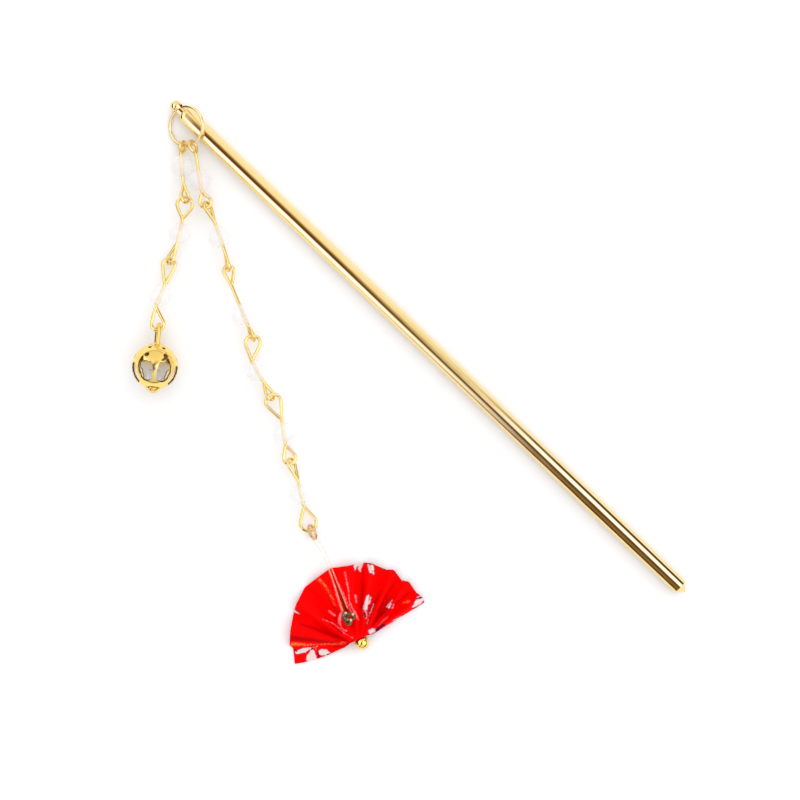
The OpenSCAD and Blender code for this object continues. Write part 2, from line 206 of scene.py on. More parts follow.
aside = add(tent, "ShaderNodeMapRange", {0: off_side, 1: 0.18, 2: 0.26})
flags = add(tent, "ShaderNodeMath", {0: slit, 1: aside}, operation="MULTIPLY")
to_left = add(tent, "ShaderNodeMapRange", {0: ray, 1: -0.18, 2: -0.25})
to_right = add(tent, "ShaderNodeMapRange", {0: ray, 1: 0.18, 2: 0.25})
with_left = add(tent, "ShaderNodeMix", {0: to_left, 6: shine.outputs[2], 7: left_wall}, data_type="RGBA")
walls = add(tent, "ShaderNodeMix", {0: to_right, 6: with_left.outputs[2], 7: right_wall}, data_type="RGBA")
around = add(tent, "ShaderNodeMix", {0: flags, 6: walls.outputs[2], 7: linear("#2a1c08")}, data_type="RGBA")
path = add(tent, "ShaderNodeLightPath")
glossy = add(tent, "ShaderNodeBackground", {0: around.outputs[2], 1: 3.0})
# The even light is a little stronger from the far side of the stick. It is just bright enough to
# bring the white card close to white, as in the photograph, so that only faint shadows show on it.
slope = add(tent, "ShaderNodeMapRange", {0: ray.outputs[1], 1: -1.0, 2: 1.0, 3: 0.88, 4: 1.66})
even = add(tent, "ShaderNodeBackground", {0: linear("#fdfdff"), 1: slope})
beyond = add(tent, "ShaderNodeBackground", {0: linear("#fbfbfc"), 1: 1.0})
lit = add(tent, "ShaderNodeMixShader", {0: path.outputs["Is Glossy Ray"], 1: even, 2: glossy})
seen = add(tent, "ShaderNodeMixShader", {0: path.outputs["Is Camera Ray"], 1: lit, 2: beyond})
add(tent, "ShaderNodeOutputWorld", {0: seen})
print("the tent's nodes:", len(tent.nodes))

# %% [markdown]
# ## The table
#
# A sheet of smooth white card. It is a plain plane, and no part of the kanzashi. A trace of
# cloudiness keeps it from looking like a blank page.

# %% Table
def new_piece(name, mesh_maker, material, slot=None):
    """An object of a finished bmesh at the origin; a piece with a slot rides on the body."""
    mesh = bpy.data.meshes.new(name)
    mesh_maker.to_mesh(mesh)
    mesh_maker.free()
    piece = bpy.data.objects.new(name, mesh)
    scene.collection.objects.link(piece)
    mesh.materials.append(material)
    if slot:
        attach(piece, "root")
    return piece


card, tree, shader = new_material("smooth white card", Roughness=0.6)
spot = add(tree, "ShaderNodeTexCoord").outputs["Object"]
cloud = add(tree, "ShaderNodeTexNoise", {"Vector": spot, "Scale": 12.0, "Detail": 2.0})
tones = add(tree, "ShaderNodeValToRGB", {0: cloud}, stops=[(0.3, "#f3f3f4"), (0.7, "#f6f6f6")])
tree.links.new(tones.outputs[0], shader.inputs["Base Color"])
shader.inputs["Specular IOR Level"].default_value = 0.2
bm = bmesh.new()
bmesh.ops.create_grid(bm, x_segments=8, y_segments=8, size=1.5)
table = new_piece("table", bm, card)

# %% [markdown]
# ## Gold plate
#
# The stick, rings, links and ball are brass under a thin coat of gold, polished and then worn
# smooth by handling. Gold plate is a metal, so its colour sits in the reflections. Polishing
# leaves fine hairlines and an uneven film of grease from fingers, which a slight change of
# roughness shows. The pieces differ in how yellow the bath left them, so the finish is a
# function of its two tones.

# %% A plated finish
def gold_plate(name, tone, deep, roughness, grain=(1, 1, 1)):
    """Polished gold plate; grain stretches its hairlines."""
    material, tree, shader = new_material(name, Metallic=1.0)
    spot = add(tree, "ShaderNodeTexCoord").outputs["Object"]
    # Uneven film, in patches of about 3 mm
    film = add(tree, "ShaderNodeTexNoise", {"Vector": spot, "Scale": 330.0, "Detail": 3.0})
    tones = add(tree, "ShaderNodeValToRGB", {0: film}, stops=[(0.3, deep), (0.7, tone)])
    tree.links.new(tones.outputs[0], shader.inputs["Base Color"])
    gloss = add(tree, "ShaderNodeMapRange", {
        0: film, 1: 0.3, 2: 0.75, 3: 0.8 * roughness, 4: 1.3 * roughness})
    tree.links.new(gloss.outputs[0], shader.inputs["Roughness"])
    # Hairlines 0.1 mm apart
    drawn = add(tree, "ShaderNodeMapping", {0: spot, "Scale": grain})
    lines = add(tree, "ShaderNodeTexNoise", {"Vector": drawn, "Scale": 10000.0, "Detail": 2.0})
    bump = add(tree, "ShaderNodeBump", {"Height": lines, "Strength": 0.04, "Distance": 0.00002})
    tree.links.new(bump.outputs[0], shader.inputs["Normal"])
    return material


stick_gold = gold_plate("gold plated brass, drawn and polished", "#f9e0a2", "#f7da98", 0.08, (0.02, 1, 1))
ring_gold = gold_plate("pale gold plated wire", "#fbe8b8", "#f9dd9c", 0.05)
link_gold = gold_plate("gold plated link wire", "#fbe4a0", "#f7d67e", 0.05)
ball_gold = gold_plate("gold plated pierced brass", "#fde08c", "#fbd46e", 0.09)
copper = gold_plate("copper plated wire", "#f0c79a", "#e6b784", 0.15)

# %% [markdown]
# ## The stick
#
# The real stick is turned on a lathe from a 3 mm rod: a small ball, a neck with a hole for the
# ring, a rounded shoulder, then a straight shaft that narrows to a short point. A lathe is a spin,
# so half of its outline is drawn as a chain of points and spun about its axis.

# %% Spin the stick
STICK_AXIS = place(0, -0.27, 1.5)
KNOB = 1.05
NECK = 0.85
HEAD_END = 1.42
HEAD_LENGTH = 12
SHAFT = 1.5
TAPER = 24
TIP = 1.35
TIP_NOSE = 0.2


def arc(centre, radius, start, end, steps):
    """Points (along, out) on an arc; angles in degrees from the along axis."""
    turns = [math.radians(start + (end - start) * k / steps) for k in range(steps + 1)]
    return [(centre[0] + radius * math.cos(t), centre[1] + radius * math.sin(t)) for t in turns]


def spun(outline, base, axis, out, steps=64):
    """Spins points (along, out) in mm about the axis through base."""
    bm = bmesh.new()
    chain = [bm.verts.new(base + (axis * a + out * o) * MM) for a, o in outline]
    edges = [bm.edges.new(pair) for pair in zip(chain, chain[1:])]
    bmesh.ops.spin(bm, geom=chain + edges, cent=base, axis=axis, angle=2 * math.pi,
                   steps=steps, use_merge=True)
    bmesh.ops.remove_doubles(bm, verts=bm.verts, dist=0.002 * MM)
    bmesh.ops.recalc_face_normals(bm, faces=bm.faces)
    return bm


outline = arc((KNOB, 0), KNOB, 180, 62, 14)
outline += [(1.62, 0.9), (1.72, 0.86), (1.85, NECK), (2.7, NECK)]
outline += [(2.7 + 0.7 * (1 - math.cos(a)), NECK + (HEAD_END - NECK) * math.sin(a))
            for a in [k * math.pi / 16 for k in range(1, 9)]]
cone_base = STICK_LENGTH - TIP + (math.sqrt(2) - 1) * TIP_NOSE
outline += [(HEAD_LENGTH, SHAFT), (STICK_LENGTH - TAPER, SHAFT), (cone_base, TIP)]
outline += arc((STICK_LENGTH - TIP_NOSE, 0), TIP_NOSE, 45, 0, 5)
bm = spun(outline, STICK_AXIS, Vector((1, 0, 0)), Vector((0, 0, 1)), 96)
stick = new_piece("stick", bm, stick_gold, "stick_metal")
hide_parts("hair_stick")
print("stick faces:", len(stick.data.polygons))

# %% [markdown]
# ## The ring's hole
#
# The large ring goes through the neck, so the neck is drilled where the ring enters. The ring
# lies on the shaft and leans, and its plane is given by two directions. A boolean cuts the hole,
# because the drill comes in at a slant that no row of faces follows. It is applied at once, so
# that the stick is left as a plain mesh.

# %% Drill the neck
RING_RADIUS = 3.48
RING_WIRE = 0.28
lean_along = math.radians(50)
lean_up = math.radians(30.6)
ring_e1 = Vector((math.cos(lean_along) * math.cos(lean_up),
                  math.sin(lean_along) * math.cos(lean_up), math.sin(lean_up)))
ring_e2 = Vector((-math.sin(lean_along), math.cos(lean_along), 0))


def ring_way(degrees):
    """The direction of a point of the large ring from its middle."""
    turn = math.radians(degrees)
    return ring_e1 * math.cos(turn) + ring_e2 * math.sin(turn)


NECK_HOLE = place(1.7, -0.27, 1.5)
ring_middle = NECK_HOLE - ring_way(109.3) * RING_RADIUS * MM


def cylinder(middle, way, radius, length, steps=32):
    """A closed cylinder about a direction, as a bmesh."""
    bm = bmesh.new()
    bmesh.ops.create_cone(bm, cap_ends=True, segments=steps,
                          radius1=radius * MM, radius2=radius * MM, depth=length * MM)
    turn = way.to_track_quat("Z", "X").to_matrix().to_4x4()
    bmesh.ops.transform(bm, matrix=Matrix.Translation(middle) @ turn, verts=bm.verts)
    return bm


def applied(piece):
    """Makes a piece's modifiers part of its mesh."""
    ready = bpy.data.meshes.new_from_object(piece.evaluated_get(bpy.context.evaluated_depsgraph_get()))
    piece.modifiers.clear()
    old = piece.data
    piece.data = ready
    bpy.data.meshes.remove(old)


def cut(piece, cutter_maker):
    """Cuts one bmesh out of a piece."""
    cutter_mesh = bpy.data.meshes.new("cutter")
    cutter_maker.to_mesh(cutter_mesh)
    cutter_maker.free()
    cutter = bpy.data.objects.new("cutter", cutter_mesh)
    scene.collection.objects.link(cutter)
    tool = piece.modifiers.new("cut", "BOOLEAN")
    tool.operation = "DIFFERENCE"
    tool.solver = "EXACT"
    tool.object = cutter
    bpy.context.view_layer.update()
    applied(piece)
    bpy.data.objects.remove(cutter)
    bpy.data.meshes.remove(cutter_mesh)


drill_way = ring_way(109.3).cross(ring_e1.cross(ring_e2)).normalized()
cut(stick, cylinder(NECK_HOLE, drill_way, 0.46, 5))


def smooth(piece, sharp_above):
    """Shades a piece smoothly, with edges sharper than an angle in degrees left crisp."""
    piece.data.shade_smooth()
    piece.data.set_sharp_from_angle(angle=math.radians(sharp_above))


smooth(stick, 38)
print("stick faces with its hole:", len(stick.data.polygons))

# %% [markdown]
# ## The rings
#
# A jump ring is a piece of round wire bent round until its ends almost meet. That is a circle,
# spun by a little less than a full turn, and its two cut ends are closed with flat faces.

# %% Bend the jump rings
def jump_ring(middle, e1, e2, radius, wire, seam, steps=96, sides=18):
    """A wire circle of radius, in mm, in the plane of e1 and e2, cut open beside seam degrees."""
    e3 = e1.cross(e2).normalized()
    bm = bmesh.new()
    bmesh.ops.create_circle(bm, cap_ends=True, segments=sides, radius=wire * MM)
    out = (e1 * math.cos(math.radians(seam)) + e2 * math.sin(math.radians(seam))).normalized()
    basis = Matrix((out, e3, out.cross(e3))).transposed().to_4x4()
    bmesh.ops.transform(bm, matrix=Matrix.Translation(middle + out * radius * MM) @ basis, verts=bm.verts)
    cap = list(bm.faces)
    bmesh.ops.spin(bm, geom=cap, cent=middle, axis=e3, angle=math.radians(358),
                   steps=steps, use_duplicate=False)
    bmesh.ops.recalc_face_normals(bm, faces=bm.faces)
    return bm


bm = jump_ring(ring_middle, ring_e1, ring_e2, RING_RADIUS, RING_WIRE, 190)
big_ring = new_piece("big_ring", bm, ring_gold, "ring_metal")
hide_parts("ring_large")
smooth(big_ring, 50)

SMALL_MIDDLE = place(70.2, -38.0, 1.5)
small_turn = math.radians(-24)
small_lean = math.radians(65)
small_e1 = Vector((math.cos(small_turn), math.sin(small_turn), 0))
small_e2 = Vector((-small_e1.y, small_e1.x, 0)) * math.cos(small_lean) + Vector((0, 0, math.sin(small_lean)))
bm = jump_ring(SMALL_MIDDLE, small_e1, small_e2, 1.3, 0.25, 120, 64)
small_ring = new_piece("small_ring", bm, copper, "copper_ring")
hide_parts("ring_small")
smooth(small_ring, 50)
print("ring faces:", len(big_ring.data.polygons), len(small_ring.data.polygons))

# %% [markdown]
# ## The links
#
# Each link is one wire with a teardrop loop turned at both ends with round pliers, closed
# through its neighbour's loop. A curve with a round bevel would do, but its loops would have to
# be placed by hand. Here each loop is worked out as pliers make it: straight from the neck,
# round the meeting point, and straight back until the cut end meets the stem.

# %% Where the loops meet and how they turn
def on_ring(degrees):
    """A point just inside the large ring's wire, in mm along, across and up."""
    spot = (ring_middle + ring_way(degrees) * (RING_RADIUS - 0.22) * MM) / MM
    return Vector((spot.x + STICK_LENGTH / 2, spot.y + ACROSS_MIDDLE, spot.z))


SHORT_MEETS = [on_ring(251), (13.75, -11.1, 2.8), (19.1, -20.9, 1.5), (25.8, -30.65, 2.8)]
LONG_MEETS = [on_ring(283), (17.0, -9.15, 2.05), (27.45, -14.6, 2.05), (39.1, -20.5, 2.0),
              (48.6, -25.8, 2.05), (58.85, -31.6, 2.1), (69.4, -37.8, 1.9)]
# Each link: its two necks, its loops' half widths and its loops' rolls about the link in degrees
SHORT_LINKS = [
    ((7.45, -5.85), (11.65, -9.4), 0.9, 1.0, 61, -54),
    ((15.7, -13.9), (17.85, -17.65), 1.35, 1.0, 3, 55),
    ((21.45, -24.5), (22.8, -28.2), 1.1, 1.1, 0, 0),
]
LONG_LINKS = [
    ((9.5, -4.0), (14.9, -8.2), 1.0, 1.0, 60, -13),
    ((20.0, -10.3), (25.1, -12.95), 1.0, 1.0, 63, 76),
    ((30.1, -16.45), (37.1, -19.6), 1.0, 1.0, -26, 72),
    ((41.8, -23.6), (45.9, -24.9), 1.3, 1.0, 6, -56),
    ((52.7, -27.4), (56.2, -30.15), 1.35, 1.05, 9, -8),
    ((62.3, -33.25), (66.0, -35.75), 1.0, 1.4, 58, 1),
]
LINK_WIRE = 0.6
HOOK = 0.47


def neck_at(start, end, neck):
    """A neck's point, on the slope between the link's two meeting points."""
    spot = Vector(neck)
    near = (spot - Vector(start).xy).length
    far = (spot - Vector(end).xy).length
    return Vector((neck[0], neck[1], start[2] + (end[2] - start[2]) * near / (near + far)))


def loop(neck, meet, half, roll, steps=22):
    """A loop's points: from its neck, round past the meeting point, back to the wire's cut end."""
    meet = Vector(meet)
    ahead = (meet - neck).normalized()
    side = Vector((-ahead.y, ahead.x, 0)).normalized()
    turned = side * math.cos(math.radians(roll)) + ahead.cross(side) * math.sin(math.radians(roll))
    middle = meet + ahead * (HOOK - half)
    opening = math.acos(half / (middle - neck).length)
    start = math.pi - opening
    turns = [start - 2 * start * k / steps for k in range(steps + 1)]
    rounded = [middle + (ahead * math.cos(t) + turned * math.sin(t)) * half for t in turns]
    stop = neck + (rounded[-1] - neck).normalized() * 0.42 * LINK_WIRE / math.sin(2 * opening)
    return [neck] + rounded + [stop]


def eased(points, reach=0.5):
    """The same points, with every sharp corner eased into a small bend."""
    result = [points[0]]
    for before, spot, after in zip(points, points[1:], points[2:]):
        if (spot - before).angle(after - spot) < math.radians(25):
            result.append(spot)
            continue
        start = spot + (before - spot).normalized() * min(reach, (before - spot).length / 2)
        end = spot + (after - spot).normalized() * min(reach, (after - spot).length / 2)
        for k in range(6):
            t = k / 5
            result.append(start * (1 - t) ** 2 + spot * 2 * t * (1 - t) + end * t * t)
    return result + [points[-1]]


# %% [markdown]
# ## Drawing a wire
#
# A wire is a circle pushed along its route, point after point. Each push extrudes the circle's
# rim, and the new rim is moved from the old place to the next. The circle is carried without
# twist, so the sides run straight along the wire.

# %% Push a circle along a route
def frames(points):
    """A place for the wire's circle at each point, facing along the wire and carried untwisted."""
    side = Vector((0.31, 0.17, 0.93))
    result = []
    for k, spot in enumerate(points):
        ahead = (points[min(k + 1, len(points) - 1)] - points[max(k - 1, 0)]).normalized()
        side = (side - ahead * side.dot(ahead)).normalized()
        turn = Matrix((side, ahead.cross(side), ahead)).transposed().to_4x4()
        result.append(Matrix.Translation(spot) @ turn)
    return result


def wire_along(points, radius, sides=12):
    """A round wire along points in metres; radius is in mm."""
    places = frames(points)
    bm = bmesh.new()
    rim = bmesh.ops.create_circle(bm, cap_ends=True, segments=sides, radius=radius * MM)["verts"]
    bmesh.ops.transform(bm, matrix=places[0], verts=rim)
    edges = list(bm.edges)
    for here, there in zip(places, places[1:]):
        grown = bmesh.ops.extrude_edge_only(bm, edges=edges)["geom"]
        rim = [g for g in grown if isinstance(g, bmesh.types.BMVert)]
        edges = [g for g in grown if isinstance(g, bmesh.types.BMEdge)
                 and g.verts[0] in rim and g.verts[1] in rim]
        bmesh.ops.transform(bm, matrix=there @ here.inverted(), verts=rim)
    bmesh.ops.edgeloop_fill(bm, edges=edges)
    bmesh.ops.recalc_face_normals(bm, faces=bm.faces)
    return bm


links = []
for drop, meets, rows in (("short", SHORT_MEETS, SHORT_LINKS), ("long", LONG_MEETS, LONG_LINKS)):
    for i, (first, last, half_1, half_2, roll_1, roll_2) in enumerate(rows):
        start = neck_at(meets[i], meets[i + 1], first)
        end = neck_at(meets[i], meets[i + 1], last)
        route = loop(start, meets[i], half_1, roll_1)[::-1] + loop(end, meets[i + 1], half_2, roll_2)
        points = [place(*spot) for spot in eased(route)]
        link = new_piece(f"{drop}_wire_{i + 1}", wire_along(points, LINK_WIRE / 2), link_gold, "link_metal")
        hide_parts(f"{drop}_link_{i + 1}")
        smooth(link, 60)
        links.append(link)
print("links:", len(links), "faces on the first:", len(links[0].data.polygons))

# %% [markdown]
# ## The glass beads
#
# Nine clear beads of cut glass, each with facets in bands and a table at both ends. Their faint
# rainbow film is a metal oxide baked on to the glass. Facets must stay flat, so the solid's own
# faces are kept, and only their edges get the tiny round that polishing gives.

# %% Clear glass with a rainbow film
glass, tree, shader = new_material(
    "clear cut glass with a rainbow film", Roughness=0.03, IOR=1.5, Transmission_Weight=0.4, Alpha=0.36,
    Thin_Film_Thickness=380.0, Thin_Film_IOR=1.6)
spot = add(tree, "ShaderNodeTexCoord").outputs["Object"]
# The film changes its tint over about 4 mm
tint = add(tree, "ShaderNodeTexNoise", {"Vector": spot, "Scale": 250.0, "Detail": 1.0})
film = add(tree, "ShaderNodeValToRGB", {0: tint}, stops=[
    (0.3, "#fff8fb"), (0.5, "#ffffff"), (0.7, "#f7fffc")])
tree.links.new(film.outputs[0], shader.inputs["Base Color"])
glass.surface_render_method = "BLENDED"

# %% Cut beads
bead_names = [f"short_bead_{i}" for i in (1, 2, 3)] + [f"long_bead_{i}" for i in range(1, 7)]
beads = []
for node in bead_names:
    bm = bmesh.new()
    bm.from_mesh(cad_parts[node].data)
    bmesh.ops.remove_doubles(bm, verts=bm.verts, dist=0.002 * MM)
    bmesh.ops.dissolve_limit(bm, angle_limit=math.radians(3), verts=bm.verts, edges=bm.edges)
    bead = new_piece(node.replace("bead", "glass"), bm, glass, "clear_bead")
    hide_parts(node)
    polish = bead.modifiers.new("polish", "BEVEL")
    polish.width = 0.05 * MM
    polish.segments = 2
    polish.limit_method = "ANGLE"
    polish.angle_limit = math.radians(12)
    beads.append(bead)
print("beads:", len(beads), "faces on each:", len(beads[0].data.polygons))

# %% [markdown]
# ## The pierced ball
#
# It is a hollow ball of thin brass, stamped with a row of tall scalloped openings and two rows of
# round ones, with a low boss at its foot and a wire eye at its head. It is a sphere with a wall
# and a cutter of prisms pushed out through it. Piercing it by hand, face by face, would leave
# ragged holes, so one boolean does it.

# %% The ball's own frame
BALL_MIDDLE = place(30.24, -35.93, 4.05)
BALL = 4.05
WALL = 0.4
PETALS = 7
ball_turn = Matrix.Rotation(math.radians(129.5), 4, "Z") @ Matrix.Rotation(math.radians(101), 4, "Y")
ball_frame = Matrix.Translation(BALL_MIDDLE) @ ball_turn
ball_rolled = ball_frame @ Matrix.Rotation(math.radians(31.4), 4, "Z")


def on_ball(turn, lat):
    """Turns +Z into the direction at a turn and a latitude of the ball, with +Y to its head."""
    a = math.radians(turn)
    b = math.radians(lat)
    way = Vector((math.cos(a) * math.cos(b), math.sin(a) * math.cos(b), math.sin(b)))
    up = Vector((-math.cos(a) * math.sin(b), -math.sin(a) * math.sin(b), math.cos(b)))
    return Matrix((up.cross(way), up, way)).transposed().to_4x4()


# %% Shell and openings
ROUNDS = [((0, 0.3), 1.4), ((0, -0.8), 1.22), ((-0.78, 1.2), 0.55), ((0.78, 1.2), 0.55), ((0, 1.42), 0.58)]


def petal_reach(turn):
    """How far the scalloped opening reaches from its middle: the farthest of its rounds."""
    way = Vector((math.cos(turn), math.sin(turn)))
    best = 0
    for middle, radius in ROUNDS:
        along = way.dot(Vector(middle))
        miss = Vector(middle).length_squared - along * along
        if miss < radius * radius:
            best = max(best, along + math.sqrt(radius * radius - miss))
    return best


# A cutting prism runs from inside the ball to outside it and widens on its way out
PRISM_START = 2.6
PRISM_END = 5.0
PRISM_NARROW = 0.72
PRISM_WIDE = 1.25


def prism(bm, turn, lat, reach, steps):
    """Adds a prism through the wall; reach gives its radius at a turn."""
    made = bmesh.ops.create_circle(bm, cap_ends=True, segments=steps, radius=1)["verts"]
    for v in made:
        angle = math.atan2(v.co.y, v.co.x)
        v.co = Vector((math.cos(angle), math.sin(angle), 0)) * reach(angle) * PRISM_NARROW
        v.co.z = PRISM_START
    base = list({f for v in made for f in v.link_faces})
    grown = bmesh.ops.extrude_face_region(bm, geom=base)["geom"]
    top = [g for g in grown if isinstance(g, bmesh.types.BMVert)]
    for v in top:
        v.co.x = v.co.x / PRISM_NARROW * PRISM_WIDE
        v.co.y = v.co.y / PRISM_NARROW * PRISM_WIDE
        v.co.z = PRISM_END
    bmesh.ops.transform(bm, matrix=Matrix.Scale(MM, 4), verts=made + top)
    bmesh.ops.transform(bm, matrix=ball_rolled @ on_ball(turn, lat), verts=made + top)


def painted_shade_along(tree, spot, way, start, end):
    """How far a painted shade darkens the gold, by the mm along a way from the ball's middle."""
    from_middle = add(tree, "ShaderNodeVectorMath", {0: spot, 1: BALL_MIDDLE}, operation="SUBTRACT")
    ahead = add(tree, "ShaderNodeVectorMath", {0: from_middle, 1: way}, operation="DOT_PRODUCT")
    return add(tree, "ShaderNodeMapRange", {0: ahead.outputs["Value"], 1: start * MM, 2: end * MM})


# The inside is painted light and shade: near white and not metal towards the ball's foot, a
# painted light, and brown towards the eye, a painted shade. The cut edges are painted dark brown,
# a painted shade.
pierced_gold = gold_plate("gold plated pierced brass, painted light and shade inside", "#fde08c", "#fbd46e", 0.13)
tree = pierced_gold.node_tree
shader = tree.nodes["Principled BSDF"]
spot = add(tree, "ShaderNodeTexCoord").outputs["Object"]
shade_share = painted_shade_along(tree, spot, ball_rolled.to_3x3() @ Vector((0, 0, 1)), 0.2, 2.6)
inside = add(tree, "ShaderNodeValToRGB", {0: shade_share}, stops=[
    (0.0, "#fffdf6"), (0.45, "#fbe6b4"), (0.75, "#b87a28"), (1.0, "#5a3208")])
depth = add(tree, "ShaderNodeVectorMath", {0: spot, 1: BALL_MIDDLE}, operation="DISTANCE")
pale = add(tree, "ShaderNodeMapRange", {
    0: depth.outputs["Value"], 1: (BALL - 0.9 * WALL) * MM, 2: (BALL - 0.98 * WALL) * MM})
edge = add(tree, "ShaderNodeMapRange", {
    0: depth.outputs["Value"], 1: (BALL - 0.25 * WALL) * MM, 2: (BALL - 0.4 * WALL) * MM})
outside = shader.inputs["Base Color"].links[0].from_socket
# Painted shade: the cut edges dark brown
painted_edge_shade = add(tree, "ShaderNodeMix", {0: edge, 6: outside, 7: linear("#4a2c08")}, data_type="RGBA")
with_painted_inside = add(tree, "ShaderNodeMix", {0: pale, 6: painted_edge_shade.outputs[2], 7: inside}, data_type="RGBA")
tree.links.new(with_painted_inside.outputs[2], shader.inputs["Base Color"])
polish = shader.inputs["Roughness"].links[0].from_socket
unpolished = add(tree, "ShaderNodeMix", {0: edge, 2: polish, 3: 0.42})
tree.links.new(unpolished.outputs[0], shader.inputs["Roughness"])
matt_inside = add(tree, "ShaderNodeMapRange", {0: pale, 3: 1.0, 4: 0.0})
tree.links.new(matt_inside.outputs[0], shader.inputs["Metallic"])

bm = bmesh.new()
bmesh.ops.create_uvsphere(bm, u_segments=96, v_segments=64, radius=BALL * MM, matrix=ball_rolled)
inner = bmesh.ops.create_uvsphere(bm, u_segments=64, v_segments=40, radius=(BALL - WALL) * MM,
                                    matrix=ball_rolled)
bmesh.ops.reverse_faces(bm, faces=list({f for v in inner["verts"] for f in v.link_faces}))
ball = new_piece("ball", bm, pierced_gold, "ball_metal")
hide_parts("filigree_ball")

bm = bmesh.new()
for i in range(PETALS):
    turn = 360 * (i + 0.5) / PETALS
    prism(bm, turn, -22, petal_reach, 64)
    prism(bm, turn, 21, lambda a: 0.45, 24)
    prism(bm, turn, 46, lambda a: 0.3, 20)
bmesh.ops.recalc_face_normals(bm, faces=bm.faces)
cut(ball, bm)
print("ball faces after piercing:", len(ball.data.polygons))

# %% [markdown]
# ## The ball's rims, boss and eye
#
# Stamping turns the edge of each opening, so a fine bead of metal stands round it and catches
# the light. A bevel on the cut edges gives that. The boss and the collar are small spun shapes
# and the eye is a wire hoop that is soldered on.

# %% Soften the cut edges
smooth(ball, 40)
edge = ball.modifiers.new("edges", "BEVEL")
edge.width = 0.07 * MM
edge.segments = 2
edge.limit_method = "ANGLE"
edge.angle_limit = math.radians(50)

# %% Boss, collar and eye
ball_axis = (ball_turn @ Vector((0, 0, 1))).normalized()
ball_side = (ball_turn @ Vector((1, 0, 0))).normalized()
BOSS_OUTLINE = [(-3.95, 1.28), (-4.05, 1.24), (-4.18, 1.14), (-4.34, 0.96), (-4.5, 0.82),
                (-4.6, 0.62), (-4.6, 0.36), (-4.3, 0.32), (-3.9, 0.32)]
boss = spun(BOSS_OUTLINE, BALL_MIDDLE, ball_axis, ball_side, 48)
boss_piece = new_piece("ball_boss", boss, ball_gold, "ball_metal")
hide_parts("filigree_ball")
smooth(boss_piece, 60)
COLLAR_OUTLINE = [(3.7, 1.46), (3.82, 1.42), (3.98, 1.2), (4.2, 0.9), (4.3, 0.6), (4.32, 0)]
collar = spun(COLLAR_OUTLINE, BALL_MIDDLE, ball_axis, ball_side, 48)
collar_piece = new_piece("ball_collar", collar, ball_gold, "ball_metal")
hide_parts("filigree_ball")
smooth(collar_piece, 60)

EYE_HALF = 0.99
EYE_WIRE = 0.38
EYE_ROOT = 3.75
EYE_END = 7.95
EYE_TURN = 14
eye_top = EYE_END - EYE_WIRE - EYE_HALF
hoop = [(-EYE_HALF, EYE_ROOT)]
for degrees in range(180, -1, -10):
    turn = math.radians(degrees)
    hoop.append((EYE_HALF * math.cos(turn), eye_top + EYE_HALF * math.sin(turn)))
hoop.append((EYE_HALF, EYE_ROOT))
eye_frame = ball_frame @ Matrix.Rotation(math.radians(EYE_TURN), 4, "Z")
bm = wire_along([eye_frame @ Vector((x * MM, 0, z * MM)) for x, z in hoop], EYE_WIRE, 16)
# One leg of the eye is painted brown, a painted shade
eye_gold_with_painted_shade = gold_plate("gold plated eye, one leg in painted shade", "#fde08c", "#fbd46e", 0.1)
tree = eye_gold_with_painted_shade.node_tree
shader = tree.nodes["Principled BSDF"]
spot = add(tree, "ShaderNodeTexCoord").outputs["Object"]
shade_share = painted_shade_along(tree, spot, eye_frame.to_3x3() @ Vector((1, 0, 0)), 0.45, 0.75)
outside = shader.inputs["Base Color"].links[0].from_socket
eye_with_painted_shade = add(tree, "ShaderNodeMix", {0: shade_share, 6: outside, 7: linear("#7c4c14")}, data_type="RGBA")
tree.links.new(eye_with_painted_shade.outputs[2], shader.inputs["Base Color"])
eye = new_piece("ball_eye", bm, eye_gold_with_painted_shade, "ball_metal")
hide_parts("filigree_ball")
smooth(eye, 50)
print("eye faces:", len(eye.data.polygons))

# %% [markdown]
# ## The fan's folds
#
# A strip of printed washi paper is pleated, pinched at its foot and spread into a fan. A grid
# makes the sheet. Its columns run along the folds and its rows across them, and each point is
# moved to its place between two folds. Nearby places are averaged, so that a crease is soft as
# in real paper, and the pleats stand tall at the foot, where they are pressed together.

# %% The folds' table
PIVOT = place(89.8, -46.3, 0)
FAN_TURN = math.radians(159.1)
fan_frame = Matrix.Translation(PIVOT) @ Matrix.Rotation(FAN_TURN, 4, "Z")
FOOT = 0.8
FOOT_BOW = 0.3
FOOT_WIDTH = 5.6
EDGE_BOW = 0.45
# Each fold: degrees from the fan's middle, its length and its height at the rim, in mm
FOLDS = [
    (83.2, 12.2, 0.16),
    (69.0, 11.9, 0.18),
    (66.0, 12.5, 1.0),
    (54.0, 12.5, 2.3),
    (40.3, 12.9, 0.25),
    (32.7, 13.2, 2.2),
    (19.6, 13.8, 0.2),
    (7.8, 13.8, 2.3),
    (-3.4, 14.1, 0.3),
    (-16.9, 13.8, 2.4),
    (-27.9, 14.1, 0.3),
    (-33.4, 14.2, 2.4),
    (-45.4, 13.6, 0.25),
    (-50.1, 14.2, 2.2),
    (-59.4, 13.1, 0.2),
    (-63.9, 13.8, 2.1),
    (-73.4, 13.2, 0.2),
    (-78.6, 13.6, 1.7),
    (-83.2, 13.3, 0.35),
]
LAST = len(FOLDS) - 1


def between(share, rows):
    """A value read from rows of (share, value)."""
    for (a, low), (b, high) in zip(rows, rows[1:]):
        if share <= b:
            return low + (high - low) * (share - a) / (b - a)
    return rows[-1][1]


